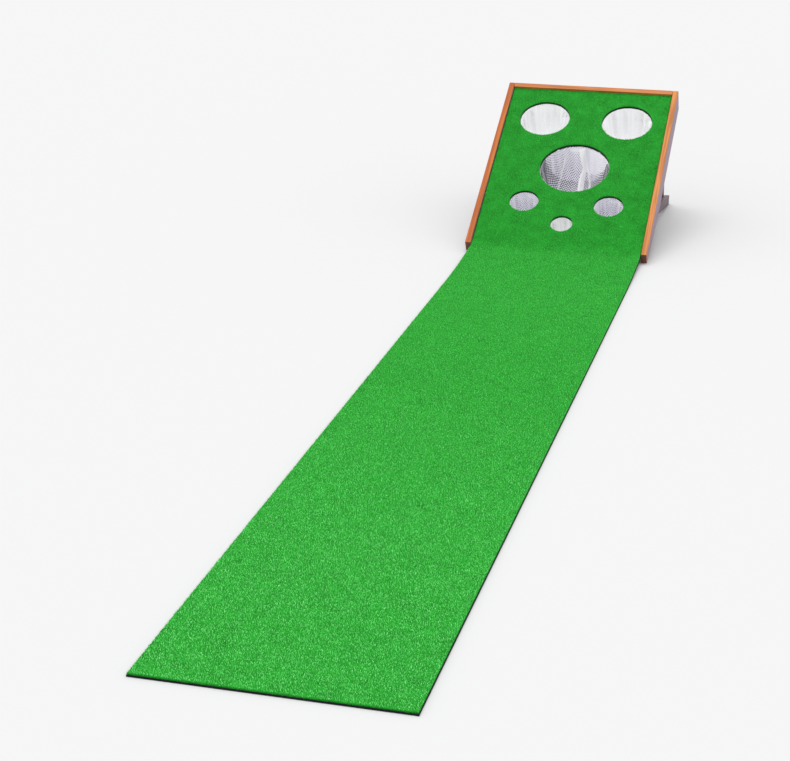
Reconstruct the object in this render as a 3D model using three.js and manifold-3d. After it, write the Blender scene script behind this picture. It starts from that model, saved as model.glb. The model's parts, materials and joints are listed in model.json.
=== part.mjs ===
// Practice putting mat: a long turf runway that runs up an inclined, wood-framed target board
// with six netted holes, held up by a folding stand of two legs and two floor stays.
// Millimetres, +Z up. X is across the mat, +Y runs from the player towards the board.
// The origin is on the floor, under the middle of the mat's overall length.

import * as THREE from 'three';
import { mergeVertices } from 'three/addons/utils/BufferGeometryUtils.js';
import Module from 'manifold-3d';

// ---------------------------------------------------------------- driving dimensions

const MAT_WIDTH = 450;
const FLOOR_RUN = 2368;               // near edge to the foot of the board
const OVERALL_LENGTH = 3007;          // near edge to the rear ends of the stays
const BOARD_SLOPE = 29.5 * Math.PI / 180;
const BOARD_RUN = 632;                // turfed length of the board, along its slope

const BACKING = 3;                    // rubber backing under the pile
const PILE = 5;
const TURF = BACKING + PILE;
const GAP = 0.3;                      // between touching pieces
const EASE = 1;                       // eased edges of the wood

const RAMP_RUN = 300;                 // length over which the turf lifts towards the board
const BEND_CLEARANCE = 18;            // open bend between runway and board
const RAMP_STEPS = 12;

const FRAME_THICK = 15;
const FRAME_PROUD = 4;                // frame edge stands above the turf
const HEEL_DEPTH = 26;                // depth of a side board below the turf at its heel
const SIDE_DEPTH = 61;                // and from the end of its taper to the top
const TAPER_RUN = 190;
const RAIL_DEPTH = 20;

const PANEL_TOP = -TURF - GAP;
const PANEL_THICK = 5.7;
const PANEL_UNDER = PANEL_TOP - PANEL_THICK;

const HOLES = [
  { name: 'top_left', x: -115, up: 511, radius: 70, hang: 80 },
  { name: 'top_right', x: 115, up: 511, radius: 70, hang: 80 },
  { name: 'centre', x: 0, up: 317, radius: 95, hang: 95 },
  { name: 'lower_left', x: -114, up: 177, radius: 40, hang: 50 },
  { name: 'lower_right', x: 114, up: 177, radius: 40, hang: 50 },
  { name: 'bottom', x: 0, up: 100, radius: 30, hang: 30 },
];

const NET_WALL = 1.6;
const NET_FLANGE = 8;
const RING_THICK = 2;

const BAR_WIDE = 27;                  // stand members, seen from the side
const BAR_THICK = 13;
const STAY_INNER = 209;               // inner face of a stay
const LEG_INNER = 195.5;              // inner face of a leg
const STAY_PIVOT = { up: 175, down: 37 };
const LEG_PIVOT = { up: 615, down: 40.5 };
const CROSSBAR = { thick: 12, deep: 23, above: 2 };
const LEG_CROSSBAR_OFFSET = 27;       // from the leg pivot to the middle of its crossbar
const BRACKET = { wide: 27, long: 24, thick: 2, drop: 26 };
const HINGE_BATTEN = { half: 208, foot: 597, head: 628, thick: 11.4 };

const PIN_RADIUS = 3;
const RUNNING = 0.2;                  // radial clearance of a pin that turns
const SNUG = 0.15;                    // radial clearance of a screw or dowel
const SCREW = { head: 3.6, shank: 1.8, taper: 2.2 };
const RIVET_HEAD = { radius: 5, thick: 2.5 };
const BOLT_HEAD = { radius: 6, thick: 3 };
const WASHER = { radius: 7, thick: 2.4 };
const PIVOT_TIP = 236;                // how far out a stay's pivot bolt reaches
const BRACKET_SCREW_LENGTH = 13;
const STAND_SCREW_LENGTH = 32;
const FOOT_CUT = 1.2;                 // trimmed off the underside of a stay where it lies on the floor
const FOOT_CLEARANCE = 1;             // between the legs' feet and the stays' crossbar

const DOWEL = { radius: 3, length: 24, downs: [3, 14] };
const SIDE_BATTEN = { inner: 213, thick: 8, foot: 34, head: 628 };
const BOTTOM_BATTEN = { foot: 2, head: 30, thick: 9 };
const BATTEN_SCREW = { length: 20, ups: [120, 450] };
const PANEL_SCREW = { x: 219, length: 12.5, ups: [60, 290, 585] };

const HALF = MAT_WIDTH / 2;
const WOOD = { color: 0xd98a55, roughness: 0.5, metalness: 0 };
const PLYWOOD = { color: 0x2b2724, roughness: 0.8, metalness: 0 };
const BATTEN = { color: 0xb9814f, roughness: 0.7, metalness: 0 };
const BLACK_RUBBER = { color: 0x111211, roughness: 0.9, metalness: 0 };
const GREEN_PILE = { color: 0x3fae44, roughness: 0.95, metalness: 0 };
const BOARD_PILE = { color: 0x2a9331, roughness: 0.95, metalness: 0 };
const WHITE_NET = { color: 0xeceaf2, roughness: 0.9, metalness: 0 };
const WHITE_PLASTIC = { color: 0xd8d6d2, roughness: 0.6, metalness: 0 };
const ZINC = { color: 0xb4b6b8, roughness: 0.35, metalness: 1 };
const BEECH = { color: 0xd8b98a, roughness: 0.7, metalness: 0 };

// ---------------------------------------------------------------- solids

const wasm = await Module();
wasm.setup();

function signedVolume(geometry) {
  const p = geometry.attributes.position;
  const index = geometry.index.array;
  const [a, b, c] = [new THREE.Vector3(), new THREE.Vector3(), new THREE.Vector3()];
  let volume = 0;
  for (let i = 0; i < index.length; i += 3) {
    a.fromBufferAttribute(p, index[i]);
    b.fromBufferAttribute(p, index[i + 1]);
    c.fromBufferAttribute(p, index[i + 2]);
    volume += a.dot(b.cross(c)) / 6;
  }
  return volume;
}

// Keeps positions only, joins shared vertices and turns every face outwards.
function closed(geometry) {
  geometry.deleteAttribute('normal');
  geometry.deleteAttribute('uv');
  const joined = mergeVertices(geometry, 1e-4);
  const corners = Array.from(joined.index.array);
  const kept = [];
  for (let i = 0; i < corners.length; i += 3) {
    const [a, b, c] = corners.slice(i, i + 3);
    if (a !== b && b !== c && c !== a) kept.push(a, b, c);
  }
  joined.setIndex(kept);
  if (signedVolume(joined) < 0) joined.setIndex(kept.reverse());
  return joined;
}

function toSolid(geometry) {
  const joined = closed(geometry.clone());
  return new wasm.Manifold(new wasm.Mesh({
    numProp: 3,
    vertProperties: Float32Array.from(joined.attributes.position.array),
    triVerts: Uint32Array.from(joined.index.array),
  }));
}

function toGeometry(solid) {
  const mesh = solid.getMesh();
  const geometry = new THREE.BufferGeometry();
  geometry.setAttribute('position', new THREE.BufferAttribute(Float32Array.from(mesh.vertProperties), 3));
  geometry.setIndex(Array.from(mesh.triVerts));
  return geometry;
}

function cut(geometry, tools) {
  return toGeometry(tools.reduce((solid, tool) => solid.subtract(toSolid(tool)), toSolid(geometry)));
}

function join(geometry, others) {
  return toGeometry(others.reduce((solid, other) => solid.add(toSolid(other)), toSolid(geometry)));
}

function shapeOf(points) {
  return new THREE.Shape(points.map(([a, b]) => new THREE.Vector2(a, b)));
}

function extrude(shape, length, ease, curveSegments) {
  const geometry = new THREE.ExtrudeGeometry(shape, {
    depth: length - 2 * ease,
    bevelEnabled: ease > 0,
    bevelThickness: ease,
    bevelSize: ease,
    bevelOffset: -ease,
    bevelSegments: 1,
    curveSegments,
  });
  return geometry.translate(0, 0, ease);
}

// A (y, z) outline, as wide as x0 to x1.
function slab(outline, x0, x1, ease = 0) {
  const shape = Array.isArray(outline) ? shapeOf(outline) : outline;
  const turned = new THREE.Matrix4().makeBasis(
    new THREE.Vector3(0, 1, 0),
    new THREE.Vector3(0, 0, 1),
    new THREE.Vector3(1, 0, 0),
  );
  return closed(extrude(shape, x1 - x0, ease, 16).applyMatrix4(turned).translate(x0, 0, 0));
}

// An (x, y) shape, as thick as z0 to z1.
function plate(shape, z0, z1, curveSegments = 16) {
  return closed(extrude(shape, z1 - z0, 0, curveSegments).translate(0, 0, z0));
}

function box(x0, x1, y0, y1, z0, z1, ease = 0) {
  return slab([[y0, z0], [y1, z0], [y1, z1], [y0, z1]], x0, x1, ease);
}

// A profile of [radius, height] points turned about +Y.
function turned(profile, segments = 12) {
  const points = profile.map(([radius, height]) => new THREE.Vector2(radius, height));
  return closed(new THREE.LatheGeometry(points, segments));
}

// Stands a turned piece at a place, with its +Y end pointing along X (side is +1 or -1).
function alongX(geometry, side, x, y, z) {
  return geometry.rotateZ(-side * Math.PI / 2).translate(x, y, z);
}

function pinProfile(radius, length) {
  return [[0, 0], [radius, 0], [radius, length], [0, length]];
}

function headedPinProfile(head, radius, length) {
  const shoulder = [[head.radius, 0], [head.radius, head.thick], [radius, head.thick]];
  return [[0, 0], ...shoulder, [radius, head.thick + length], [0, head.thick + length]];
}

function ringProfile(inner, outer, thick) {
  return [[inner, 0], [outer, 0], [outer, thick], [inner, thick], [inner, 0]];
}

// A countersunk screw from its head, at 0, to its tip; grow widens it into the bore it sits in.
function screwProfile(length, grow = 0) {
  const { head, shank, taper } = SCREW;
  return [
    [0, -grow],
    [head + grow, -grow],
    [head + grow, 0.5],
    [shank + grow, taper + 0.5],
    [shank + grow, length + grow],
    [0, length + grow],
  ];
}

// ---------------------------------------------------------------- scene graph

const puttingMat = new THREE.Group();
const mat = new THREE.Group();
mat.position.y = -OVERALL_LENGTH / 2;
puttingMat.add(mat);

// The board's own group: y runs up its slope, z stands out of its turf.
const board = new THREE.Group();
board.position.set(0, FLOOR_RUN, HEEL_DEPTH * Math.cos(BOARD_SLOPE));
board.rotation.x = BOARD_SLOPE;
mat.add(board);

function piece(group, name, geometry, finish) {
  const mesh = new THREE.Mesh(geometry, new THREE.MeshStandardMaterial(finish));
  mesh.name = name;
  group.add(mesh);
}

// A place on the board, up its slope and down below its turf, as [y, z] in the mat's group.
function fromBoard({ up, down }) {
  const sin = Math.sin(BOARD_SLOPE);
  const cos = Math.cos(BOARD_SLOPE);
  return [FLOOR_RUN + up * cos + down * sin, board.position.z + up * sin - down * cos];
}

const SIDES = [{ name: 'left', sign: -1 }, { name: 'right', sign: 1 }];

// A piece between two distances from the middle, on the side of that sign.
function span(sign, inner, outer) {
  return sign > 0 ? [inner, outer] : [-outer, -inner];
}

// ---------------------------------------------------------------- runway

// Height of the turf's top at a distance along the floor: flat, then curving up to the board.
function turfTop(y) {
  const along = Math.max(0, y - (FLOOR_RUN - RAMP_RUN)) / RAMP_RUN;
  return TURF + (board.position.z - TURF) * along * along;
}

// A layer of the turf between two depths below its top, over a stretch of floor.
function runwayLayer(start, end, steps, top, bottom) {
  const upper = [];
  const lower = [];
  for (let i = 0; i <= steps; i += 1) {
    const y = start + (end - start) * i / steps;
    upper.push([y, turfTop(y) - top]);
    lower.push([y, turfTop(y) - bottom]);
  }
  return slab([...lower, ...upper.reverse()], -HALF + 2 * GAP, HALF - 2 * GAP);
}

// The strip is one piece of turf, kept as a flat stretch and a ramp so that each is a simple solid.
const STRETCHES = [
  { name: 'runway', start: 0, end: FLOOR_RUN - RAMP_RUN - GAP, steps: 1 },
  { name: 'ramp', start: FLOOR_RUN - RAMP_RUN, end: FLOOR_RUN - BEND_CLEARANCE, steps: RAMP_STEPS },
];

for (const { name, start, end, steps } of STRETCHES) {
  piece(mat, `${name}_backing`, runwayLayer(start, end, steps, PILE + GAP, TURF), BLACK_RUBBER);
  piece(mat, `${name}_turf`, runwayLayer(start, end, steps, 0, PILE), GREEN_PILE);
}

// ---------------------------------------------------------------- board layers

function boardOutline(halfWidth, foot, head) {
  const shape = shapeOf([[-halfWidth, foot], [halfWidth, foot], [halfWidth, head], [-halfWidth, head]]);
  for (const { x, up, radius } of HOLES) {
    const hole = new THREE.Path();
    hole.absarc(x, up, radius, 0, 2 * Math.PI, true);
    shape.holes.push(hole);
  }
  return shape;
}

const BOARD_INNER = boardOutline(HALF - 2 * GAP, 0.5, BOARD_RUN - GAP);

piece(board, 'board_turf', plate(BOARD_INNER, -PILE, 0), BOARD_PILE);
piece(board, 'board_backing', plate(BOARD_INNER, -TURF, -PILE - GAP), BLACK_RUBBER);

// ---------------------------------------------------------------- wooden frame

const RAIL_MIDDLE = BOARD_RUN + FRAME_THICK / 2;
const SIDE_BATTEN_UNDER = PANEL_UNDER - GAP - SIDE_BATTEN.thick;
const SIDE_BATTEN_MIDDLE = PANEL_UNDER - GAP - SIDE_BATTEN.thick / 2;

function dowelTools(sign, grow) {
  const x = sign * (HALF + GAP / 2) - sign * DOWEL.length / 2;
  return DOWEL.downs.map((down) => alongX(
    turned(pinProfile(DOWEL.radius + grow, DOWEL.length + grow)).translate(0, -grow / 2, 0),
    sign,
    x,
    RAIL_MIDDLE,
    -down,
  ));
}

function battenScrews(sign, grow) {
  return BATTEN_SCREW.ups.map((up) => alongX(
    turned(screwProfile(BATTEN_SCREW.length, grow)),
    sign,
    sign * SIDE_BATTEN.inner,
    up,
    SIDE_BATTEN_MIDDLE,
  ));
}

function panelScrews(sign, grow) {
  return PANEL_SCREW.ups.map((up) => turned(screwProfile(PANEL_SCREW.length, grow))
    .rotateX(-Math.PI / 2)
    .translate(sign * PANEL_SCREW.x, up, PANEL_TOP));
}

// A bolt screwed into the side board from inside, on which the stay turns.
function pivotBolt(sign, grow) {
  const under = STAY_INNER - GAP;
  const profile = headedPinProfile(BOLT_HEAD, PIN_RADIUS + grow, PIVOT_TIP - under + grow);
  const x = sign * (under - BOLT_HEAD.thick);
  return alongX(turned(profile), sign, x, STAY_PIVOT.up, -STAY_PIVOT.down);
}

const SIDE_OUTLINE = [
  [0, FRAME_PROUD],
  [0, -HEEL_DEPTH],
  [TAPER_RUN, -SIDE_DEPTH],
  [BOARD_RUN + FRAME_THICK, -SIDE_DEPTH],
  [BOARD_RUN + FRAME_THICK, FRAME_PROUD],
];

for (const { name, sign } of SIDES) {
  const side = slab(SIDE_OUTLINE, ...span(sign, HALF, HALF + FRAME_THICK), EASE);
  const bores = [...dowelTools(sign, SNUG), ...battenScrews(sign, SNUG), pivotBolt(sign, SNUG)];
  piece(board, `side_board_${name}`, cut(side, bores), WOOD);

  const { inner, foot, head } = SIDE_BATTEN;
  const batten = box(...span(sign, inner, HALF - GAP), foot, head, SIDE_BATTEN_UNDER, PANEL_UNDER - GAP);
  const held = [...battenScrews(sign, SNUG), ...panelScrews(sign, SNUG)];
  piece(board, `side_batten_${name}`, cut(batten, held), BATTEN);
}

const rail = box(
  -HALF + GAP,
  HALF - GAP,
  BOARD_RUN,
  BOARD_RUN + FRAME_THICK,
  -RAIL_DEPTH,
  FRAME_PROUD,
  EASE,
);
piece(board, 'top_rail', cut(rail, SIDES.flatMap(({ sign }) => dowelTools(sign, SNUG))), WOOD);

const panel = plate(BOARD_INNER, PANEL_UNDER, PANEL_TOP);
piece(board, 'target_panel', cut(panel, SIDES.flatMap(({ sign }) => panelScrews(sign, SNUG))), PLYWOOD);

const bottomBatten = box(
  -HALF + GAP,
  HALF - GAP,
  BOTTOM_BATTEN.foot,
  BOTTOM_BATTEN.head,
  PANEL_UNDER - GAP - BOTTOM_BATTEN.thick,
  PANEL_UNDER - GAP,
);
piece(board, 'bottom_batten', bottomBatten, BATTEN);

for (const { name, sign } of SIDES) {
  dowelTools(sign, 0).forEach((dowel, i) => piece(board, `rail_dowel_${name}_${i + 1}`, dowel, BEECH));
  battenScrews(sign, 0).forEach((screw, i) => piece(board, `batten_screw_${name}_${i + 1}`, screw, ZINC));
  panelScrews(sign, 0).forEach((screw, i) => piece(board, `panel_screw_${name}_${i + 1}`, screw, ZINC));
}

// ---------------------------------------------------------------- ball nets

// A net bag's inner face, as fractions of its mouth radius and of its depth.
const BAG = [[0.98, 0], [0.96, 0.45], [0.86, 0.78], [0.55, 0.96], [0, 1]];

// Leans a bag so that it hangs straight down from the tilted board.
function hangDown(geometry, from) {
  const position = geometry.attributes.position;
  for (let i = 0; i < position.count; i += 1) {
    const below = Math.max(0, from - position.getZ(i));
    position.setY(i, position.getY(i) - below * Math.tan(BOARD_SLOPE));
  }
  return geometry;
}

function netBag({ radius, hang, x, up }) {
  const top = PANEL_UNDER - GAP;
  const depth = hang * Math.cos(BOARD_SLOPE);
  const under = top - NET_WALL;
  const inner = BAG.map(([r, d]) => [r * radius, top - d * depth]);
  const outer = BAG.map(([r, d]) => [r * radius + (d < 1 ? NET_WALL : 0), top - d * depth - NET_WALL]);
  const profile = [...inner, ...outer.reverse().slice(0, -1)];
  profile.push([inner[0][0] + NET_WALL, under], [radius + NET_FLANGE, under], [radius + NET_FLANGE, top]);
  profile.push(inner[0]);
  const bag = turned(profile, 24);
  return hangDown(bag.rotateX(Math.PI / 2), under).translate(x, up, 0);
}

function netRing({ radius, x, up }) {
  const top = PANEL_UNDER - NET_WALL - 2 * GAP;
  const inner = radius + NET_WALL + 2 * GAP;
  const outer = radius + NET_FLANGE;
  const ring = turned(ringProfile(inner, outer, RING_THICK), 24);
  return ring.rotateX(Math.PI / 2).translate(x, up, top - RING_THICK);
}

for (const hole of HOLES) {
  piece(board, `net_${hole.name}`, netBag(hole), WHITE_NET);
  piece(board, `net_ring_${hole.name}`, netRing(hole), WHITE_PLASTIC);
}

// ---------------------------------------------------------------- leg hinges on the board

const HINGE_BATTEN_UNDER = PANEL_UNDER - GAP - HINGE_BATTEN.thick;
const BRACKET_TOP = HINGE_BATTEN_UNDER - GAP;
const BRACKET_EDGE = LEG_INNER - GAP;

function bracketScrew(sign, grow) {
  const x = sign * (BRACKET_EDGE - BRACKET.wide / 2 - BRACKET.thick);
  return turned(screwProfile(BRACKET_SCREW_LENGTH, grow))
    .rotateX(Math.PI / 2)
    .translate(x, LEG_PIVOT.up, BRACKET_TOP - BRACKET.thick);
}

// The rivet through a bracket's ear, on which the leg turns.
function legRivet(sign, grow) {
  const start = BRACKET_EDGE - BRACKET.thick - GAP;
  const profile = headedPinProfile(RIVET_HEAD, PIN_RADIUS + grow, LEG_INNER + BAR_THICK - start - GAP);
  const x = sign * (start - RIVET_HEAD.thick);
  return alongX(turned(profile), sign, x, LEG_PIVOT.up, -LEG_PIVOT.down);
}

function legBracket(sign) {
  const [foot, head] = [LEG_PIVOT.up - BRACKET.long / 2, LEG_PIVOT.up + BRACKET.long / 2];
  const under = BRACKET_TOP - BRACKET.thick;
  const base = box(...span(sign, BRACKET_EDGE - BRACKET.wide, BRACKET_EDGE), foot, head, under, BRACKET_TOP);
  const ear = box(
    ...span(sign, BRACKET_EDGE - BRACKET.thick, BRACKET_EDGE),
    foot,
    head,
    BRACKET_TOP - BRACKET.drop,
    BRACKET_TOP,
  );
  return cut(join(base, [ear]), [bracketScrew(sign, SNUG), legRivet(sign, RUNNING)]);
}

const hingeBatten = box(
  -HINGE_BATTEN.half,
  HINGE_BATTEN.half,
  HINGE_BATTEN.foot,
  HINGE_BATTEN.head,
  HINGE_BATTEN_UNDER,
  PANEL_UNDER - GAP,
);
piece(board, 'hinge_batten', cut(hingeBatten, SIDES.map(({ sign }) => bracketScrew(sign, SNUG))), BATTEN);

for (const { name, sign } of SIDES) {
  piece(board, `leg_bracket_${name}`, legBracket(sign), ZINC);
  piece(board, `leg_bracket_screw_${name}`, bracketScrew(sign, 0), ZINC);
  piece(board, `leg_rivet_${name}`, legRivet(sign, 0), ZINC);

  piece(board, `stay_pivot_bolt_${name}`, pivotBolt(sign, 0), ZINC);
  const washer = turned(ringProfile(PIN_RADIUS + RUNNING, WASHER.radius, WASHER.thick));
  const x = sign * (HALF - GAP - WASHER.thick);
  piece(board, `stay_washer_${name}`, alongX(washer, sign, x, STAY_PIVOT.up, -STAY_PIVOT.down), ZINC);
}

// ---------------------------------------------------------------- folding stand

const [STAY_Y, STAY_Z] = fromBoard(STAY_PIVOT);
const [LEG_Y, LEG_Z] = fromBoard(LEG_PIVOT);
const HALF_BAR = BAR_WIDE / 2;
const CROSSBAR_FRONT = OVERALL_LENGTH - CROSSBAR.thick;
const LEG_FOOT_REAR = CROSSBAR_FRONT - FOOT_CLEARANCE;
const LEG_ANGLE = Math.atan2(-LEG_Z, LEG_FOOT_REAR - HALF_BAR - LEG_Y);
const STAY_ANGLE = Math.atan2(HALF_BAR - FOOT_CUT - STAY_Z, OVERALL_LENGTH - STAY_Y);

// A bar seen from the side: a round head at its pivot (y, z), straight edges at an angle, and a
// foot cut level with the floor. With an end, the bar is also cut plumb there.
function barOutline(y, z, angle, end) {
  const along = [Math.cos(angle), Math.sin(angle)];
  const across = [-along[1] * HALF_BAR, along[0] * HALF_BAR];
  const [top, bottom] = [[y + across[0], z + across[1]], [y - across[0], z - across[1]]];
  const atFloor = ([py, pz]) => py - pz * along[0] / along[1];
  const shape = new THREE.Shape();
  shape.absarc(y, z, HALF_BAR, angle + Math.PI / 2, angle + 1.5 * Math.PI, false);
  shape.lineTo(atFloor(bottom), 0);
  if (end) {
    shape.lineTo(end, 0);
    shape.lineTo(end, top[1] + (end - top[0]) * along[1] / along[0]);
  } else {
    shape.lineTo(atFloor(top), 0);
  }
  shape.closePath();
  return shape;
}

function pivotBore(sign, inner, y, z) {
  return alongX(turned(pinProfile(PIN_RADIUS + RUNNING, BAR_THICK + 2)), sign, sign * (inner - 1), y, z);
}

// A screw through the outer face of a bar into the end of its crossbar.
function barScrew(sign, inner, y, z, grow) {
  const profile = screwProfile(STAND_SCREW_LENGTH, grow);
  return alongX(turned(profile), -sign, sign * (inner + BAR_THICK), y, z);
}

// Two bars with a crossbar between them, which turn together about their pivots.
function barPair({ name, inner, y, z, outline, crossbar, screwAt }) {
  const screws = (grow) => SIDES.map(({ sign }) => barScrew(sign, inner, ...screwAt, grow));
  for (const side of SIDES) {
    const bar = slab(outline, ...span(side.sign, inner, inner + BAR_THICK), EASE);
    const bored = cut(bar, [pivotBore(side.sign, inner, y, z), ...screws(SNUG)]);
    piece(mat, `${name}_${side.name}`, bored, WOOD);
    piece(mat, `${name}_screw_${side.name}`, barScrew(side.sign, inner, ...screwAt, 0), ZINC);
  }
  const bar = slab(crossbar, -inner + GAP, inner - GAP, EASE);
  piece(mat, `${name}_crossbar`, cut(bar, screws(SNUG)), WOOD);
}

const legAlong = new THREE.Vector2(Math.cos(LEG_ANGLE), Math.sin(LEG_ANGLE));
const legAcross = new THREE.Vector2(-legAlong.y, legAlong.x);
const legBarMiddle = new THREE.Vector2(LEG_Y, LEG_Z).addScaledVector(legAlong, LEG_CROSSBAR_OFFSET);

function legCrossbarCorner(alongSide, acrossSide) {
  const corner = legBarMiddle.clone()
    .addScaledVector(legAlong, alongSide * CROSSBAR.thick / 2)
    .addScaledVector(legAcross, acrossSide * CROSSBAR.deep / 2);
  return corner.toArray();
}

barPair({
  name: 'leg',
  inner: LEG_INNER,
  y: LEG_Y,
  z: LEG_Z,
  outline: barOutline(LEG_Y, LEG_Z, LEG_ANGLE),
  crossbar: [[-1, -1], [1, -1], [1, 1], [-1, 1]].map(([a, b]) => legCrossbarCorner(a, b)),
  screwAt: legBarMiddle.toArray(),
});

const stayBarBottom = CROSSBAR.above;
const stayBarTop = CROSSBAR.above + CROSSBAR.deep;

barPair({
  name: 'stay',
  inner: STAY_INNER,
  y: STAY_Y,
  z: STAY_Z,
  outline: barOutline(STAY_Y, STAY_Z, STAY_ANGLE, OVERALL_LENGTH),
  crossbar: [
    [CROSSBAR_FRONT, stayBarBottom],
    [OVERALL_LENGTH, stayBarBottom],
    [OVERALL_LENGTH, stayBarTop],
    [CROSSBAR_FRONT, stayBarTop],
  ],
  screwAt: [OVERALL_LENGTH - CROSSBAR.thick / 2, (stayBarBottom + stayBarTop) / 2],
});

export default puttingMat;
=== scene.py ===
"""Practice putting mat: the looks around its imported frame.

Metres, +Z up; X is across the mat and +Y runs to the board.
"""

import json
import math

import bpy
import numpy as np
from mathutils import Matrix, Vector
from mathutils.geometry import delaunay_2d_cdt


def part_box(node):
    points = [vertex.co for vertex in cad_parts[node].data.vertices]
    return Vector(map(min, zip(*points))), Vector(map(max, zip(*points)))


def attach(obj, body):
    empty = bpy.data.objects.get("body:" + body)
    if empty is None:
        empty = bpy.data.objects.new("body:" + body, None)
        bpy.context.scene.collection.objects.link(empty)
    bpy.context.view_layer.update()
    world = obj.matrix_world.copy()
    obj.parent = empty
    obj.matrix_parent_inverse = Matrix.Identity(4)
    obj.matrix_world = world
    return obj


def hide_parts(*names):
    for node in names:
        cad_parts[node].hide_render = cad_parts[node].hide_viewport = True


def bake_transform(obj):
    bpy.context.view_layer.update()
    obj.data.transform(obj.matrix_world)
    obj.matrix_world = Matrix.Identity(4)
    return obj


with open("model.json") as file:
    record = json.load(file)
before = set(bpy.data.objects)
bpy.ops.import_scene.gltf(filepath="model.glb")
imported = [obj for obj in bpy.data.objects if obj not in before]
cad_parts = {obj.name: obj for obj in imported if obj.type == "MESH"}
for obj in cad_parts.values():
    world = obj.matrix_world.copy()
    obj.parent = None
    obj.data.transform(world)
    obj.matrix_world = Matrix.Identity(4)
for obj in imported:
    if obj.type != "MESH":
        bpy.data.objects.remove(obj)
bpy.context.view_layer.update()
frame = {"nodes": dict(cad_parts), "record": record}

MM = 0.001
RANDOM = np.random.default_rng(19)

# ---------------------------------------------------------------- driving dimensions

SLOPE = math.radians(29.5)          # of the board
FLOOR_RUN = 2.368                   # near edge to the foot of the board
BOARD_RUN = 0.632
FOLD_HEIGHT = 26 * MM * math.cos(SLOPE)
RAMP_RUN = 0.3                      # the turf lifts over this length
BEND = 0.026                        # each arm of the soft bend at the board's foot

BACKING = 3 * MM
PILE = 5 * MM
TURF = BACKING + PILE
PANEL_UNDER = -14 * MM              # the panel's underside, from the top of the turf
END_GAP = 0.4 * MM                  # between the turf and the top rail

NEAR_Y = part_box("runway_turf")[0].y
FOLD_Y = NEAR_Y + FLOOR_RUN
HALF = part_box("runway_turf")[1].x

NET_FLANGE = 8 * MM
NET_TOP = PANEL_UNDER + 5 * MM      # where a net leaves the wall of its hole
BAGS = {                            # how far each net hangs below the panel
    "top_left": 0.08,
    "top_right": 0.08,
    "centre": 0.095,
    "lower_left": 0.05,
    "lower_right": 0.05,
    "bottom": 0.03,
}


def on_board(place):
    """A place in the row frame, as (x, up the slope, out of the turf)."""
    y, z = place[1] - FOLD_Y, place[2] - FOLD_HEIGHT
    return (place[0], y * math.cos(SLOPE) + z * math.sin(SLOPE), z * math.cos(SLOPE) - y * math.sin(SLOPE))


def find_holes():
    """Each hole's middle, as x and distance up the board, and its radius, from the ring under it."""
    holes = {}
    for name in BAGS:
        low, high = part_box(f"net_ring_{name}")
        x, up, _ = on_board((low + high) / 2)
        holes[name] = (x, up, (high.x - low.x) / 2 - NET_FLANGE)
    return holes


HOLES = find_holes()

# ---------------------------------------------------------------- camera, stage and lights


def add_camera():
    data = bpy.data.cameras.new("camera")
    data.lens = 84.887
    data.sensor_width = 36
    data.clip_end = 200
    camera = bpy.data.objects.new("camera", data)
    yaw, pitch, roll = (math.radians(a) for a in (14.6115, -19.9609, 0.156))
    turn = Matrix.Rotation(yaw, 4, "Z") @ Matrix.Rotation(math.pi / 2 + pitch, 4, "X")
    turn = turn @ Matrix.Rotation(roll, 4, "Z")
    camera.matrix_world = Matrix.Translation((0.7794, NEAR_Y - 2.27101, 1.35955)) @ turn
    bpy.context.collection.objects.link(camera)
    bpy.context.scene.camera = camera


def add_light(name, kind, energy, direction, **settings):
    """A light that shines along direction."""
    data = bpy.data.lights.new(name, kind)
    data.energy = energy
    for key, value in settings.items():
        setattr(data, key, value)
    lamp = bpy.data.objects.new(name, data)
    lamp.rotation_mode = "QUATERNION"
    lamp.rotation_quaternion = Vector(direction).to_track_quat("-Z", "Y")
    bpy.context.collection.objects.link(lamp)


def add_studio():
    add_light("key", "SUN", 1.7, (0.12, -0.14, -0.98), angle=math.radians(50))
    world = bpy.data.worlds.new("studio")
    world.use_nodes = True
    sky = world.node_tree.nodes["Background"]
    sky.inputs["Color"].default_value = (0.99, 0.99, 1.0, 1)
    sky.inputs["Strength"].default_value = 1.16
    bpy.context.scene.world = world
    bpy.context.scene.view_settings.view_transform = "Standard"


# ---------------------------------------------------------------- materials


def new_material(name, colour=(0.8, 0.8, 0.8), roughness=0.5, **sockets):
    """A Principled material with these plain values."""
    material = bpy.data.materials.new(name)
    material.use_nodes = True
    material.diffuse_color = (*colour, 1)
    shader = material.node_tree.nodes["Principled BSDF"]
    shader.inputs["Base Color"].default_value = (*colour, 1)
    shader.inputs["Roughness"].default_value = roughness
    for key, value in sockets.items():
        shader.inputs[key.replace("_", " ")].default_value = value
    return material


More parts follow.
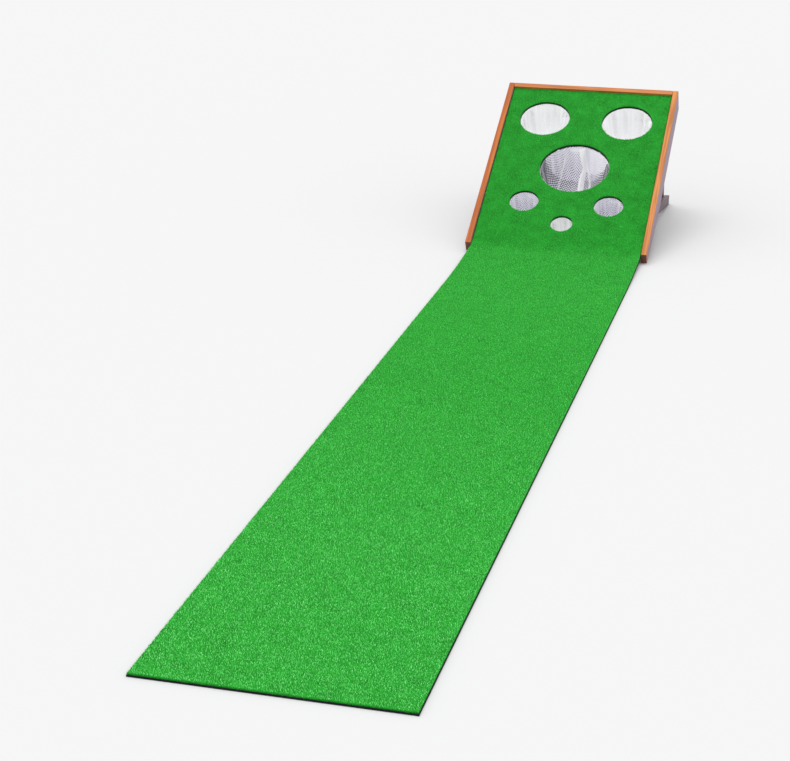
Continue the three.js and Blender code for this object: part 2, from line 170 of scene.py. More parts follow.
class Nodes:
    """Short ways to add and link a material's nodes."""

    def __init__(self, material):
        self.tree = material.node_tree
        self.shader = self.tree.nodes["Principled BSDF"]

    def add(self, kind, settings=None, **inputs):
        node = self.tree.nodes.new(kind)
        for key, value in (settings or {}).items():
            setattr(node, key, value)
        for key, value in inputs.items():
            self.feed(node.inputs[key.replace("_", " ")], value)
        return node

    def feed(self, socket, value):
        if isinstance(value, bpy.types.NodeSocket):
            self.tree.links.new(value, socket)
        else:
            socket.default_value = value

    def math(self, operation, *values):
        node = self.tree.nodes.new("ShaderNodeMath")
        node.operation = operation
        for socket, value in zip(node.inputs, values):
            self.feed(socket, value)
        return node.outputs[0]

    def noise(self, vector, scale, detail=3.0, roughness=0.55, distortion=0.0):
        return self.add(
            "ShaderNodeTexNoise",
            Vector=vector,
            Scale=scale,
            Detail=detail,
            Roughness=roughness,
            Distortion=distortion,
        ).outputs["Fac"]

    def ramp(self, value, stops):
        node = self.add("ShaderNodeValToRGB", Fac=value)
        elements = node.color_ramp.elements
        while len(elements) < len(stops):
            elements.new(0.5)
        for element, (place, colour) in zip(elements, stops):
            element.position = place
            element.color = (*colour, 1)
        return node.outputs["Color"]

    def blend(self, kind, factor, a, b):
        node = self.add("ShaderNodeMix", {"data_type": "RGBA", "blend_type": kind})
        self.feed(node.inputs[0], factor)
        self.feed(node.inputs[6], a)
        self.feed(node.inputs[7], b)
        return node.outputs[2]

    def place(self, turn=0.0, scale=(1, 1, 1)):
        """Coordinates fixed to the piece, turned back by an angle about X so that Y runs along it."""
        here = self.add("ShaderNodeTexCoord").outputs["Object"]
        turned = self.add("ShaderNodeMapping", {"vector_type": "POINT"}, Vector=here, Rotation=(turn, 0, 0))
        return self.add("ShaderNodeMapping", Vector=turned.outputs[0], Scale=scale).outputs[0]

    def bump(self, height, distance, strength=1.0):
        node = self.add("ShaderNodeBump", Height=height, Distance=distance, Strength=strength)
        self.feed(self.shader.inputs["Normal"], node.outputs[0])

    def colour(self, value):
        self.feed(self.shader.inputs["Base Color"], value)

    def roughness(self, value, low, high):
        node = self.add("ShaderNodeMapRange", Value=value, To_Min=low, To_Max=high)
        self.feed(self.shader.inputs["Roughness"], node.outputs[0])


def facing(nodes):
    """Two factors, soft over eased edges: 1 on faces along X, and 1 on cut ends that look along -Y. They mask
    the painted reflection and shade of the sides and the painted shade of the ends.
    """
    normal = nodes.add("ShaderNodeTexCoord").outputs["Normal"]
    across, along, _ = nodes.add("ShaderNodeSeparateXYZ", Vector=normal).outputs
    side = nodes.add("ShaderNodeMapRange", Value=nodes.math("ABSOLUTE", across), From_Min=0.72, From_Max=0.97)
    end = nodes.add("ShaderNodeMapRange", Value=along, From_Min=-0.7, From_Max=-0.85)
    return side.outputs[0], end.outputs[0]


def stretched(fine, coarse, long_way):
    """The scales of a pattern drawn out along X or Y."""
    return tuple(coarse if part else fine for part in (*long_way, 0))


def wood(name, turn, light, dark, painted_side_light, painted_side_dark, across=False):
    """Stained pine whose grain runs along Y, once turned back by an angle, or across the mat along X. Its
    faces along X take painted reflection, with painted shade too on the legs and stays, and its cut ends a
    darker end grain with painted shade.
    """
    material = new_material(name, light, 0.45, Specular_IOR_Level=0.15)
    nodes = Nodes(material)
    long_way = (1, 0) if across else (0, 1)
    fibres = nodes.noise(nodes.place(turn, stretched(420, 9, long_way)), 1.0, 4, 0.6)
    bands = nodes.noise(nodes.place(turn, stretched(70, 1.6, long_way)), 1.0, 2, 0.5, 0.6)
    rings = nodes.math("SINE", nodes.math("MULTIPLY", bands, 34.0))
    grain = nodes.math("ADD", nodes.math("MULTIPLY", rings, 0.16), fibres)
    front = nodes.ramp(grain, [(0.3, dark), (0.56, light), (0.75, tuple(min(1, c * 1.15) for c in light))])
    # The faces along X take painted reflection, and painted shade too on the legs and stays.
    side = nodes.ramp(grain, [(0.3, painted_side_dark), (0.62, painted_side_light)])
    stain = nodes.noise(nodes.place(turn, (9, 5, 9)), 1.0, 2)
    painted_sides, endways = facing(nodes)
    mixed = nodes.blend("MIX", painted_sides, front, side)
    # Cut ends that look along -Y: darker end grain with painted shade.
    if not across:
        mixed = nodes.blend("MIX", endways, mixed, (*END_GRAIN_AND_SHADE, 1))
    shade = nodes.ramp(stain, [(0.3, (0.86, 0.86, 0.86)), (0.7, (1, 1, 1))])
    nodes.colour(nodes.blend("MULTIPLY", 1.0, mixed, shade))
    nodes.roughness(fibres, 0.34, 0.52)
    nodes.bump(grain, 0.12 * MM, 0.5)
    return material


def speckled(name, dark, light, scale, rough, depth, **sockets):
    """A matt material that is mottled and rough at one scale."""
    material = new_material(name, light, rough[1], **sockets)
    nodes = Nodes(material)
    here = nodes.place()
    fine = nodes.noise(here, scale, 4, 0.7)
    broad = nodes.noise(here, scale / 14, 2)
    mottle = nodes.math("ADD", nodes.math("MULTIPLY", broad, 0.4), nodes.math("MULTIPLY", fine, 0.6))
    nodes.colour(nodes.ramp(mottle, [(0.36, dark), (0.64, light)]))
    nodes.roughness(fine, *rough)
    nodes.bump(fine, depth, 0.8)
    return material


LEG_TURN = math.radians(11.2) - math.pi / 2
STAY_TURN = math.radians(7.8)

# Wood colours, each as its lighter and its darker colour: end grain, and the colours painted for reflection
# and shade on the sides, legs and stays.
# Darker end grain, with the painted shade of cut ends that face down the slope.
END_GRAIN_AND_SHADE = (0.17, 0.075, 0.055)
# Painted reflection: the mauve-grey that the rails' outer faces along X show at a grazing angle.
SIDE_REFLECTION = (0.28, 0.2, 0.26), (0.2, 0.14, 0.19)
# Painted shade: the legs' orange wood drawn dark brown, as it looks in the shade under the board.
LEG_SHADE = (0.18, 0.055, 0.025), (0.1, 0.028, 0.012)
# Painted shade and reflection: the stays' wood drawn dark mauve, as it looks in the shade near the floor.
STAY_SHADE_AND_REFLECTION = (0.1, 0.058, 0.075), (0.06, 0.036, 0.048)
# Painted shade and reflection: the dark mauve of the legs' and stays' faces along X.
SIDE_SHADE_AND_REFLECTION = (0.11, 0.062, 0.08), (0.07, 0.04, 0.055)
NET_GLOW = {"Subsurface_Weight": 0.3, "Subsurface_Radius": (2 * MM,) * 3}

MATERIALS = {
    "rail_left": wood("rail_left", -SLOPE, (0.45, 0.12, 0.012), (0.34, 0.072, 0.008), *SIDE_REFLECTION),
    "rail_right": wood("rail_right", -SLOPE, (0.52, 0.2, 0.05), (0.41, 0.13, 0.026), *SIDE_REFLECTION),
    "rail_top": wood("rail_top", -SLOPE, (0.48, 0.165, 0.042), (0.37, 0.105, 0.022), *SIDE_REFLECTION, across=True),
    "leg_wood": wood("leg_wood", LEG_TURN, *LEG_SHADE, *SIDE_SHADE_AND_REFLECTION),
    "leg_bar": wood("leg_bar", LEG_TURN, *LEG_SHADE, *SIDE_SHADE_AND_REFLECTION, across=True),
    "stay_wood": wood("stay_wood", STAY_TURN, *STAY_SHADE_AND_REFLECTION, *SIDE_SHADE_AND_REFLECTION),
    "stay_bar": wood("stay_bar", STAY_TURN, *STAY_SHADE_AND_REFLECTION, *SIDE_SHADE_AND_REFLECTION, across=True),
    "batten_wood": speckled(
        "batten_wood", (0.3, 0.17, 0.08), (0.5, 0.31, 0.15), 160, (0.55, 0.8), 0.15 * MM
    ),
    "dowel_wood": speckled("dowel_wood", (0.5, 0.36, 0.2), (0.68, 0.5, 0.3), 300, (0.5, 0.75), 0.05 * MM),
    "black_plywood": speckled(
        "black_plywood", (0.006, 0.006, 0.007), (0.02, 0.019, 0.019), 220, (0.5, 0.8), 0.08 * MM
    ),
    "rubber_backing": speckled(
        "rubber_backing", (0.004, 0.005, 0.007), (0.014, 0.016, 0.02), 500, (0.6, 0.9), 0.12 * MM,
        Specular_IOR_Level=0.15,
    ),
    "pile_ground": speckled(
        "pile_ground", (0.008, 0.16, 0.01), (0.02, 0.34, 0.03), 420, (0.8, 0.95), 0.8 * MM,
        Specular_IOR_Level=0.1,
    ),
    # Painted shade: a lavender-grey copy of the white net yarn, for the nets that hang in more shade.
    "net": new_material("net", (0.91, 0.88, 1.0), 0.6, **NET_GLOW),
    # Painted shade: near-black threads that stand for the shadow seen through the nets' gaps.
    "net_painted_shade": new_material("net_painted_shade", (0.06, 0.055, 0.08), 0.8, Specular_IOR_Level=0.2),
    "net_white": new_material("net_white", (0.985, 0.98, 1.0), 0.6, **NET_GLOW),
    "net_ring": speckled("net_ring", (0.6, 0.59, 0.57), (0.72, 0.71, 0.69), 300, (0.4, 0.6), 0.03 * MM),
    "zinc_steel": speckled(
        "zinc_steel", (0.42, 0.43, 0.45), (0.62, 0.63, 0.64), 260, (0.25, 0.45), 0.03 * MM, Metallic=1.0
    ),
    "floor": new_material("floor", (0.55, 0.55, 0.55), 0.9, Specular_IOR_Level=0.0),
}

# The pile's yarns, from the darkest to the palest; the bright and pale yarns are also tinted whiter, a
# painted sheen of light on their tips.
YARNS = [
    ("deep", (0.01, 0.2, 0.012)),
    ("dark", (0.024, 0.37, 0.03)),
    ("middle", (0.052, 0.53, 0.061)),
    ("bright", (0.115, 0.68, 0.13)),
    ("pale", (0.23, 0.83, 0.25)),
]

# ---------------------------------------------------------------- mesh helpers


def new_mesh(name, points, faces, material, smooth=True):
    """A piece from its points and faces."""
    mesh = bpy.data.meshes.new(name)
    mesh.from_pydata(np.asarray(points).tolist(), [], [list(f) for f in faces])
    mesh.materials.append(material)
    mesh.polygons.foreach_set("use_smooth", [smooth] * len(mesh.polygons))
    mesh.update()
    piece = bpy.data.objects.new(name, mesh)
    bpy.context.collection.objects.link(piece)
    return piece


def add_floor():
    reach = 40
    corners = [(-reach, -reach, 0), (reach, -reach, 0), (reach, reach, 0), (-reach, reach, 0)]
    new_mesh("floor", corners, [(0, 1, 2, 3)], MATERIALS["floor"])


# ---------------------------------------------------------------- the turf's path


class Path:
    """The top of the turf from the near end to the top rail, as one line in the YZ plane."""

    def __init__(self):
        ramp = FOLD_Y - RAMP_RUN
        knee = FOLD_Y - BEND
        ys = np.linspace(ramp, knee, 40)
        flat = [(NEAR_Y, TURF)]
        rise = [(y, self.lift(y)) for y in ys]
        upper = (FOLD_Y + BEND * math.cos(SLOPE), FOLD_HEIGHT + BEND * math.sin(SLOPE))
        corner = self.crossing(knee, upper)
        bend = []
        for t in np.linspace(0, 1, 25)[1:]:
            weights = ((1 - t) ** 2, 2 * t * (1 - t), t * t)
            arms = (rise[-1], corner, upper)
            bend.append(tuple(sum(w * p[i] for w, p in zip(weights, arms)) for i in range(2)))
        end = BOARD_RUN - END_GAP
        head = [(FOLD_Y + end * math.cos(SLOPE), FOLD_HEIGHT + end * math.sin(SLOPE))]
        self.line = np.array(flat + rise + bend + head)
        steps = np.diff(self.line, axis=0)
        self.along = np.concatenate([[0], np.cumsum(np.hypot(steps[:, 0], steps[:, 1]))])
        middles = (self.along[1:] + self.along[:-1]) / 2
        self.turns = (middles, np.arctan2(steps[:, 1], steps[:, 0]))
        self.length = self.along[-1]
        self.board_start = self.length - end          # where the foot of the board would be
        self.ramp_start = self.along[1]

    def lift(self, y):
        part = max(0.0, y - (FOLD_Y - RAMP_RUN)) / RAMP_RUN
        return TURF + (FOLD_HEIGHT - TURF) * part * part

    def crossing(self, knee, upper):
        """Where the ramp's end, carried straight on, meets the board's slope."""
        steep = 2 * (FOLD_HEIGHT - TURF) / RAMP_RUN * (1 - BEND / RAMP_RUN)
        climb = math.tan(SLOPE)
        y = (upper[1] - self.lift(knee) + steep * knee - upper[0] * climb) / (steep - climb)
        return (y, self.lift(knee) + steep * (y - knee))

    def at(self, x, s, out):
        """Points at x across, s along the turf and out above its top, as rows of xyz."""
        x, s, out = np.broadcast_arrays(x, s, out)
        y = np.interp(s, self.along, self.line[:, 0])
        z = np.interp(s, self.along, self.line[:, 1])
        angle = np.interp(s, *self.turns)
        return np.stack([x, y - out * np.sin(angle), z + out * np.cos(angle)], axis=-1)


PATH = Path()
HOLE_PLACES = [(x, PATH.board_start + up, radius) for x, up, radius in HOLES.values()]


def in_hole(x, s, margin=0.0):
    inside = np.zeros(np.shape(x), bool)
    for hx, hs, radius in HOLE_PLACES:
        inside |= np.hypot(x - hx, s - hs) < radius + margin
    return inside


def cut_sheet(xs, ss, rim_step, margin):
    """A triangulated sheet over these grid lines with the holes cut out: its (x, s) points and faces."""
    gx, gs = (g.ravel() for g in np.meshgrid(xs, ss))
    kept = ~in_hole(gx, gs, margin)
    points = list(zip(gx[kept], gs[kept]))
    rims = []
    for hx, hs, radius in HOLE_PLACES:
        count = int(2 * math.pi * radius / rim_step)
        first = len(points)
        for i in range(count):
            angle = 2 * math.pi * i / count
            points.append((hx + radius * math.cos(angle), hs + radius * math.sin(angle)))
            rims.append((first + i, first + (i + 1) % count))
    result = delaunay_2d_cdt([Vector(p) for p in points], rims, [], 0, 1e-7)
    flat = np.array([tuple(p) for p in result[0]])
    faces = np.array(result[2])
    middles = flat[faces].mean(axis=1)
    shut = ~in_hole(middles[:, 0], middles[:, 1], -1e-6)
    return flat, faces[shut]


def boundary_edges(faces):
    """The directed edges of a triangulated sheet that only one face has."""
    edges = np.concatenate([faces[:, [0, 1]], faces[:, [1, 2]], faces[:, [2, 0]]])
    known = set(map(tuple, edges))
    return [e for e in map(tuple, edges) if (e[1], e[0]) not in known]


def closed_sheet(name, flat, faces, top, bottom, material):
    """A solid between two heights above the turf's top, from a cut sheet."""
    count = len(flat)
    points = np.concatenate([
        PATH.at(flat[:, 0], flat[:, 1], top),
        PATH.at(flat[:, 0], flat[:, 1], bottom),
    ])
    edges = boundary_edges(faces)
    walls = [(b, a, a + count, b + count) for a, b in edges]
    under = faces[:, ::-1] + count
    return new_mesh(name, points, [*faces.tolist(), *under.tolist(), *walls], material, smooth=False)


# ---------------------------------------------------------------- turf

INSET = 1.4 * MM                    # the pile stops short of the backing's cut edges
PILE_HALF = HALF - INSET
GROUND = 2.6 * MM                   # the matted lower part of the pile
GROUND_PITCH = 3.6 * MM             # of the grid that its rough top is drawn on
BEND_ZONE = 0.035                   # the backing is drawn finer this far on each side of the fold
PILE_SPLIT = 0.06                   # the ground's two pieces meet this far before the foot of the board


def bend_with_board(piece):
    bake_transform(piece)


def make_backing():
    """The rubber sheet under the whole pile, from the near end to the top rail."""
    xs = np.linspace(-HALF, HALF, 11)
    fold = PATH.board_start
    ss = np.concatenate([
        np.linspace(0, PATH.ramp_start, 30)[:-1],
        np.linspace(PATH.ramp_start, fold - BEND_ZONE, 14)[:-1],
        np.linspace(fold - BEND_ZONE, fold + BEND_ZONE, 24)[:-1],
        np.linspace(fold + BEND_ZONE, PATH.length, 16),
    ])
    flat, faces = cut_sheet(xs, ss, 8 * MM, 12 * MM)
    backing = closed_sheet("mat_backing", flat, faces, -PILE, -TURF, MATERIALS["rubber_backing"])
    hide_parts("runway_backing", "ramp_backing", "board_backing")
    bend_with_board(backing)
    return backing


def ground_height(count):
    return -PILE + GROUND + RANDOM.normal(0, 0.35 * MM, count)


def make_runway_ground(split):
    """The matted lower pile of the runway: a rough grid, with walls and a plain underside."""
    xs = np.linspace(-PILE_HALF, PILE_HALF, int(2 * HALF / GROUND_PITCH))
    ss = np.linspace(INSET, split, int(split / GROUND_PITCH))
    across, rows = len(xs), len(ss)
    gs, gx = (g.ravel() for g in np.meshgrid(ss, xs, indexing="ij"))
    top = PATH.at(gx, gs, ground_height(len(gx)))
    lower = [PATH.at(side, ss, -PILE) for side in (-PILE_HALF, PILE_HALF)]
    points = np.concatenate([top, *lower])
    left, right = len(top), len(top) + rows
    faces = []
    for r in range(rows - 1):
        base = r * across
        for c in range(across - 1):
            a = base + c
            faces.append((a, a + 1, a + 1 + across, a + across))
        faces.append((base + across, left + r + 1, left + r, base))
        faces.append((base + across - 1, right + r, right + r + 1, base + 2 * across - 1))
        faces.append((left + r, left + r + 1, right + r + 1, right + r))
    last = (rows - 1) * across
    faces.append((left, right, *range(across - 1, -1, -1)))
    faces.append((right + rows - 1, left + rows - 1, *range(last, last + across)))
    ground = new_mesh("runway_pile_ground", points, faces, MATERIALS["pile_ground"])
    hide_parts("runway_turf", "ramp_turf")
    return ground


def make_board_ground(split):
    xs = np.linspace(-PILE_HALF, PILE_HALF, int(2 * HALF / GROUND_PITCH))
    ss = np.linspace(split, PATH.length, int((PATH.length - split) / GROUND_PITCH))
    flat, faces = cut_sheet(xs, ss, 3 * MM, 2 * MM)
    ground = closed_sheet(
        "board_pile_ground", flat, faces, ground_height(len(flat)), -PILE, MATERIALS["pile_ground"],
    )
    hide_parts("board_turf")
    return ground


def yarn_mesh(name, material, root, tip, width, turn):
    """Tufts as twisted slivers, from rows of (x, s, out): one edge at the root, another turned at the tip."""
    base = np.stack([np.cos(turn), np.sin(turn), 0 * turn], axis=-1) * width[:, None] / 2
    twist = turn + TWIST
    head = np.stack([np.cos(twist), np.sin(twist), 0 * turn], axis=-1) * width[:, None] * 0.42
    corners = np.stack([root - base, root + base, tip - head, tip + head], axis=1).reshape(-1, 3)
    points = PATH.at(corners[:, 0], corners[:, 1], corners[:, 2])
    first = np.arange(len(root))[:, None] * 4
    quad = np.array([[0, 2, 1], [0, 3, 2], [0, 1, 3], [1, 2, 3]])
    faces = (first[:, None] + quad[None]).reshape(-1, 3)
    mesh = bpy.data.meshes.new(name)
    mesh.vertices.add(len(points))
    mesh.vertices.foreach_set("co", points.ravel())
    mesh.loops.add(faces.size)
    mesh.loops.foreach_set("vertex_index", faces.ravel())
    mesh.polygons.add(len(faces))
    mesh.polygons.foreach_set("loop_start", np.arange(0, faces.size, 3))
    mesh.update(calc_edges=True)
    mesh.materials.append(material)
    piece = bpy.data.objects.new(name, mesh)
    bpy.context.collection.objects.link(piece)
    return piece


NEAR_PART = 1.2                     # the pile is drawn finer over this length, from the near end
NEAR_STEP = 2.1 * MM                # from tuft to tuft
FAR_STEP = 2.4 * MM
TWIST = 1.2                         # how far a tuft's tip is turned from its root, in radians
TONE_LIMITS = [-1.1, -0.35, 0.4, 1.15]   # the tones that part one yarn from the next


def tuft_spots(start, end, step):
    """Rows of x and s, one spot for each tuft over a stretch of the turf."""
    xs = np.arange(-HALF + step / 2, HALF, step)
    ss = np.arange(start + step / 2, end, step)
    s, x = (g.ravel() for g in np.meshgrid(ss, xs, indexing="ij"))
    return np.stack([x, s]) + RANDOM.uniform(-0.36, 0.36, (2, len(x))) * step


def make_tufts():
    """The pile's yarn ends, sorted by tone into one piece for each yarn."""
    spots = [tuft_spots(0, NEAR_PART, NEAR_STEP), tuft_spots(NEAR_PART, PATH.length, FAR_STEP)]
    x, s = np.concatenate(spots, axis=1)
    kept = ~in_hole(x, s, 0.3 * MM) & (np.abs(x) < PILE_HALF) & (s > INSET) & (s < PATH.length - 0.3 * MM)
    x, s = x[kept], s[kept]
    count = len(x)
    lean = RANDOM.normal(0, 1.1 * MM, (2, count))
    height = RANDOM.normal(-0.1 * MM, 0.35 * MM, count)
    root = np.stack([x, s, np.full(count, -PILE + 0.8 * MM)], axis=-1)
    reach = PILE_HALF + 0.6 * MM
    tip = np.stack([np.clip(x + lean[0], -reach, reach), s + lean[1], height], axis=-1)
    width = RANDOM.uniform(0.75, 1.4, count) * np.where(s < NEAR_PART, 1, 1.1) * MM
    turn = RANDOM.uniform(0, math.pi, count)
    # Painted shade: yarns fall into darker tones further along the mat and more so on the board, which gets
    # less light.
    board = np.clip((s - PATH.board_start + 0.04) / 0.12, 0, 1)
    part = s / PATH.length
    shade = 0.4 * np.clip((part - 0.15) / 0.3, 0, 1) + 0.12 * board
    tone = RANDOM.normal(0, 1, count) * (1 - 0.6 * np.clip(part / 0.6, 0, 1)) - shade
    group = np.digitize(tone, TONE_LIMITS)
    pieces = []
    for i, (name, colour) in enumerate(YARNS):
        mine = group == i
        material = new_material(f"yarn_{name}", colour, 0.6, Specular_IOR_Level=0.25)
        pieces.append(yarn_mesh(f"pile_{name}", material, root[mine], tip[mine], width[mine], turn[mine]))
    return pieces


def make_fringe():
    """Yarn ends that stand out over the mat's cut edges and into the holes."""
    rows = []
    open_length = PATH.board_start - 0.02
    for side in (-1, 1):
        s = RANDOM.uniform(0, open_length, int(open_length / MM * 1.5))
        out = RANDOM.uniform(-0.9, 1.2, len(s)) * MM
        rows.append((np.full(len(s), side * (PILE_HALF - 0.8 * MM)), s, side * (out + 0.8 * MM), 0 * s))
    x = RANDOM.uniform(-HALF, HALF, int(2 * HALF / MM * 2.2))
    rows.append((x, 0 * x + INSET + 0.8 * MM, 0 * x, -RANDOM.uniform(0, 3.8, len(x)) * MM))
    for hx, hs, radius in HOLE_PLACES:
        angle = RANDOM.uniform(0, 2 * math.pi, int(2 * math.pi * radius / MM * 1.5))
        inward = RANDOM.uniform(0.6, 2.4, len(angle)) * MM
        far = radius + 0.9 * MM
        rows.append((
            hx + far * np.cos(angle),
            hs + far * np.sin(angle),
            -inward * np.cos(angle),
            -inward * np.sin(angle),
        ))
    x, s, dx, ds = (np.concatenate(column) for column in zip(*rows))
    count = len(x)
    reach = np.hypot(dx, ds)
    root = np.stack([x, s, np.full(count, -PILE + 1.2 * MM)], axis=-1)
    height = -0.3 * MM - reach * 0.9 + RANDOM.normal(0, 0.6 * MM, count)
    along = s + ds + RANDOM.normal(0, 0.5 * MM, count)
    tip = np.stack([x + dx, along, np.minimum(height, 0.2 * MM)], axis=-1)
    width = RANDOM.uniform(0.8, 1.3, count) * MM
    material = new_material("yarn_fringe", (0.03, 0.46, 0.04), 0.6, Specular_IOR_Level=0.25)
    return yarn_mesh("pile_fringe", material, root, tip, width, RANDOM.uniform(0, math.pi, count))


def make_turf():
    backing = make_backing()
    split = PATH.board_start - PILE_SPLIT
    pile = [make_runway_ground(split), make_board_ground(split), *make_tufts(), make_fringe()]
    for piece in pile:
        bend_with_board(piece)


# ---------------------------------------------------------------- nets


def board_point(x, up, out):
    """Rows of xyz from places on the board's plane."""
    y = FOLD_Y + up * math.cos(SLOPE) - out * math.sin(SLOPE)
    z = FOLD_HEIGHT + up * math.sin(SLOPE) + out * math.cos(SLOPE)
    return np.stack(np.broadcast_arrays(x, y, z), axis=-1)


class Bag:
    """A disc of net pushed through a hole, so that it hangs as a gathered bag."""

    def __init__(self, name):
        self.x, self.up, radius = HOLES[name]
        self.radius = radius * 0.975
        self.depth = BAGS[name] * math.cos(SLOPE) + NET_TOP - PANEL_UNDER - 1 * MM
        angle = np.linspace(0, math.pi / 2, 90)
        power = 2 / 3
        ring = self.radius * np.cos(angle) ** power
        ring[-1] = 0
        down = self.depth * np.sin(angle) ** power
        steps = np.hypot(np.diff(ring), np.diff(down))
        travel = np.concatenate([[0], np.cumsum(steps)])
        self.reach = travel[-1]                      # from the rim to the middle, along the net
        self.profile = (travel, ring, down)
        folds = np.random.default_rng(len(name) * 7 + 3)
        self.waves = [(int(n), folds.uniform(0, 2 * math.pi), folds.uniform(0.5, 1)) for n in (5, 9, 14, 23)]

    def at(self, u, v, lift=0.0):
        """Rows of xyz from flat places on the disc, lifted off the net's middle surface."""
        away = np.hypot(u, v)
        theta = np.arctan2(v, u)
        travel = np.clip(self.reach - away, 0, self.reach)
        ring = np.interp(travel, self.profile[0], self.profile[1])
        down = np.interp(travel, self.profile[0], self.profile[2])
        part = travel / self.reach
        gather = np.sin(math.pi * np.clip(part * 1.15, 0, 1)) ** 0.8 * (1 - part)
        wave = sum(
            weight * np.sin(n * theta + phase + 3 * part) / (1 + n / 9) for n, phase, weight in self.waves
        )
        ring = ring * (1 - 0.11 * gather * (1 + wave)) - lift
        across = self.x + ring * np.cos(theta)
        up = self.up + ring * np.sin(theta) - down * math.tan(SLOPE)
        return board_point(across, up, NET_TOP - down)


STRAND_THICK = 0.8 * MM
STRAND_TURN = math.radians(38)      # of the first set of strands, from X
STRAND_CROSSING = math.radians(104)     # from the first set to the second


def strand_lines(bag, pitch, step, offset=0.0):
    """The net's two sets of straight strands on the flat disc: lists of (u, v, over or under)."""
    lines = []
    reach = bag.reach - 0.3 * MM
    for family in (0, 1):
        angle = STRAND_TURN + family * STRAND_CROSSING
        along = np.array([math.cos(angle), math.sin(angle)])
        aside = np.array([-along[1], along[0]])
        for k in range(-int(reach / pitch), int(reach / pitch) + 1):
            from_middle = (k + offset) * pitch
            half = math.sqrt(max(reach**2 - from_middle**2, 0))
            if half < 2 * step:
                continue
            t = np.linspace(-half, half, int(2 * half / step) + 2)
            flat = aside * from_middle + along * t[:, None]
            weave = np.cos(math.pi * (t / pitch + k + family))
            lines.append((flat[:, 0], flat[:, 1], weave))
    return lines


class Strands:
    """Flat strands laid over a bag, gathered into one mesh."""

    def __init__(self, bag, width, thick, material):
        self.bag, self.width, self.thick = bag, width, thick
        self.material = material
        self.points, self.faces, self.count = [], [], 0

    def add(self, u, v, lift):
        """A strand along flat places on the net, lifted off its middle surface."""
        middle = self.bag.at(u, v, lift)
        tangent = np.gradient(middle, axis=0)
        tangent /= np.linalg.norm(tangent, axis=1, keepdims=True) + 1e-12
        normal = self.bag.at(u, v, 0.5 * MM) - self.bag.at(u, v, -0.5 * MM) + np.array([0, 0, 0.6 * MM])
        aside = np.cross(tangent, normal)
        aside /= np.linalg.norm(aside, axis=1, keepdims=True) + 1e-12
        normal = np.cross(aside, tangent)
        wide, high = aside * self.width / 2, normal * self.thick / 2
        rings = np.stack([middle + wide, middle + high, middle - wide, middle - high], axis=1)
        self.points.append(rings.reshape(-1, 3))
        first = self.count + np.arange(len(middle) - 1)[:, None] * 4
        corner = np.arange(4)
        after = (corner + 1) % 4
        quads = np.stack([first + corner, first + after, first + 4 + after, first + 4 + corner], axis=-1)
        self.faces.extend(quads.reshape(-1, 4).tolist())
        start, last = self.count, self.count + (len(middle) - 1) * 4
        self.faces.append((start + 3, start + 2, start + 1, start))
        self.faces.append((last, last + 1, last + 2, last + 3))
        self.count += len(middle) * 4

    def piece(self, name):
        piece = new_mesh(name, np.concatenate(self.points), self.faces, MATERIALS[self.material])
        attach(piece, "board")
        return piece


def make_net(name, pitch, width, material):
    """A round net, cut as a flat disc and hung through its hole from the ring under the panel."""
    strands = Strands(Bag(name), width, STRAND_THICK, material)
    for u, v, weave in strand_lines(strands.bag, pitch, pitch * 0.5):
        strands.add(u, v, weave * STRAND_THICK * 0.35)
    net = strands.piece(f"net_bag_{name}")
    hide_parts(f"net_{name}")
    on_it = [make_painted_shade_threads(name, pitch, PAINTED_SHADE_THREADS[name])]
    if name == "centre":
        on_it.append(make_pleats())


def make_painted_shade_threads(name, pitch, areas):
    """Painted shade: dark threads along the gaps of a net, for the shadow seen through them, each width where
    its shaded(u, v) says so.
    """
    bag = Bag(name)
    ground = Strands(bag, 0, STRAND_THICK, "net_painted_shade")
    for width, lift, shaded in areas:
        ground.width = width
        for u, v, _ in strand_lines(bag, pitch, pitch * 0.5, offset=0.5):
            for run in runs_of(shaded(u / bag.reach, v / bag.reach)):
                ground.add(u[run], v[run], lift)
    return ground.piece(f"net_painted_shade_{name}")


def runs_of(kept, least=4):
    """The unbroken runs of True in a row of flags, as slices."""
    edges = np.flatnonzero(np.diff(np.concatenate([[0], kept.astype(int), [0]])))
    return [slice(a, b) for a, b in zip(edges[::2], edges[1::2]) if b - a >= least]


# Where the big net is folded double: a line of places on its flat disc, and the fold's width at its two ends.
PLEATS = [
    ([(0.012, 0.147), (0.015, 0.13), (0.021, 0.108), (0.023, 0.1)], (26 * MM, 13 * MM)),
    ([(0.024, 0.104), (0.014, 0.087), (0.011, 0.07), (0.011, 0.04), (0.01, 0.01)], (12 * MM, 20 * MM)),
    ([(0.022, 0.104), (0.035, 0.09), (0.0395, 0.077), (0.038, 0.05)], (9 * MM, 5 * MM)),
    ([(-0.058, 0.118), (-0.057, 0.1), (-0.0566, 0.08), (-0.054, 0.05), (-0.05, 0.03)], (2 * MM, 5 * MM)),
]


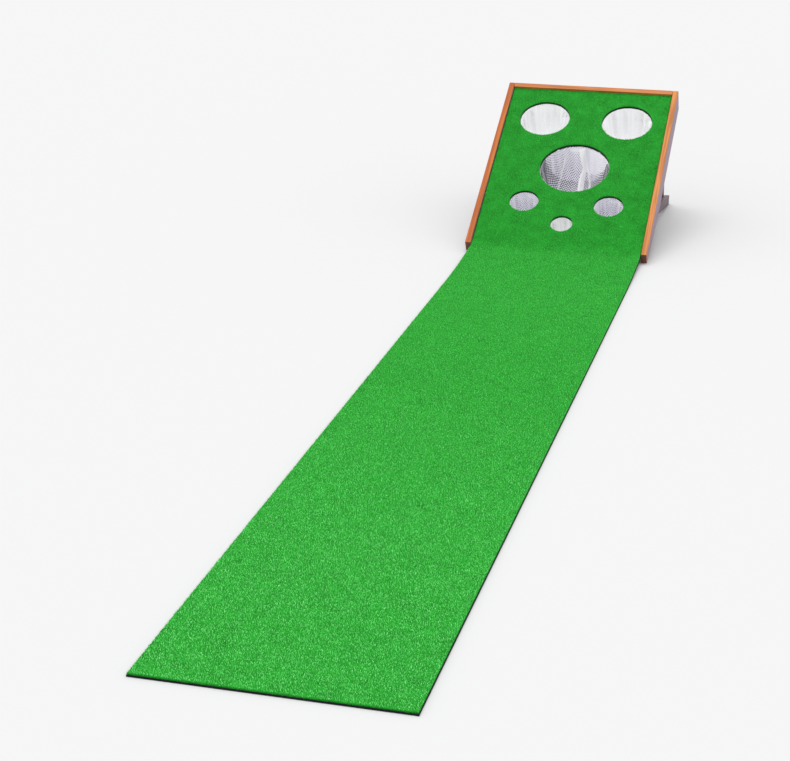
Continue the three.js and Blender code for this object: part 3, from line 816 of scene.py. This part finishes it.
def make_pleats():
    """The folds of the big net: closely gathered strands standing a little proud of it, in the white yarn,
    left without the painted shade of the rest of the net.
    """
    strands = Strands(Bag("centre"), 1.7 * MM, STRAND_THICK, "net_white")
    spacing = 1.4 * MM
    for places, widths in PLEATS:
        places = np.array(places)
        travel = np.concatenate([[0], np.cumsum(np.hypot(*np.diff(places, axis=0).T))])
        t = np.linspace(0, travel[-1], int(travel[-1] / (2 * MM)))
        u, v = (np.interp(t, travel, column) for column in places.T)
        width = np.interp(t, [0, travel[-1]], widths)
        slope = np.gradient(v), np.gradient(u)
        away = np.stack([slope[0], -slope[1]], axis=-1) / np.hypot(*slope)[:, None]
        rows = max(2, int(max(widths) / spacing))
        for share in np.linspace(-0.5, 0.5, rows):
            swell = np.sin(math.pi * np.clip(t / travel[-1], 0.08, 0.92))
            ridge = 0.8 * MM + 2.6 * MM * (1 - (2 * share) ** 2) * swell
            ripple = 0.3 * MM * np.sin(share * 40 + t * 300)
            strands.add(u + away[:, 0] * width * share + ripple, v + away[:, 1] * width * share, ridge)
    return strands.piece("net_pleats_centre")


# Each net's pitch, the width of its flat strands and its yarn: the white one, or the lavender-grey copy that
# carries painted shade.
WEAVES = {
    "top_left": (3.1 * MM, 2.3 * MM, "net_white"),
    "top_right": (3.1 * MM, 2.3 * MM, "net_white"),
    "centre": (5.2 * MM, 2.7 * MM, "net"),
    "lower_left": (4.4 * MM, 2.3 * MM, "net"),
    "lower_right": (4.4 * MM, 2.3 * MM, "net"),
    "bottom": (3.4 * MM, 2.4 * MM, "net_white"),
}

# Each net's dark threads of painted shade: their width, how far they stand off the net, and where they are,
# in flat places as shares of the net's reach. What shows through a hole is the upper wall, from about v =
# 0.35.
LOWER_SHADE = [(1.4 * MM, -0.9 * MM, lambda u, v: v + 0.3 * u < 0.9)]
GATHERED_SHADE = [(2 * MM, -0.9 * MM, lambda u, v: v > 0.93 - 0.04 * u)]
PAINTED_SHADE_THREADS = {
    "centre": [
        (1.5 * MM, 0.45 * MM, lambda u, v: v + 0.15 * np.abs(u) < 0.52),
        (2.1 * MM, -0.9 * MM, lambda u, v: v + 0.3 * u < 0.66),
        (1.2 * MM, -0.9 * MM, lambda u, v: (v > 0.6) & (v < 0.92) & (u < 0.1)),
    ],
    "lower_left": LOWER_SHADE,
    "lower_right": LOWER_SHADE,
    "top_left": GATHERED_SHADE,
    "top_right": GATHERED_SHADE,
    "bottom": [(1.2 * MM, -0.9 * MM, lambda u, v: v > 0.7)],
}


def make_nets():
    for name, (pitch, width, material) in WEAVES.items():
        make_net(name, pitch, width, material)


# ---------------------------------------------------------------- the frame's own nodes


# How far the edges are eased on each material.
EASED = {"frame_wood": 0.45 * MM, "stand_wood": 0.45 * MM, "batten_wood": 0.3 * MM, "zinc_steel": 0.2 * MM}

# The cut of wood that each node of the frame and the stand is made from.
WOODS = {
    "side_board_left": "rail_left",
    "side_board_right": "rail_right",
    "top_rail": "rail_top",
    "leg_left": "leg_wood",
    "leg_right": "leg_wood",
    "leg_crossbar": "leg_bar",
    "stay_left": "stay_wood",
    "stay_right": "stay_wood",
    "stay_crossbar": "stay_bar",
}


def finish_nodes():
    """Gives each CAD node that still shows its material and softly rounded edges."""
    slots = node_slots()
    for name, node in frame["nodes"].items():
        if slots[name] == "turf_pile":
            continue
        material = MATERIALS[WOODS.get(name, slots[name])]
        for slot in node.material_slots:
            slot.material = material
        if slots[name] in EASED:
            bevel = node.modifiers.new("soft_edges", "BEVEL")
            bevel.width = EASED[slots[name]]
            bevel.segments = 2
            bevel.limit_method = "ANGLE"
            bevel.angle_limit = math.radians(35)


def node_slots():
    """The record's material slot for each node."""
    return {part["node"]: part["material_slot"] for part in frame["record"]["subparts"]}


add_camera()
add_studio()
add_floor()
make_turf()
make_nets()
finish_nodes()
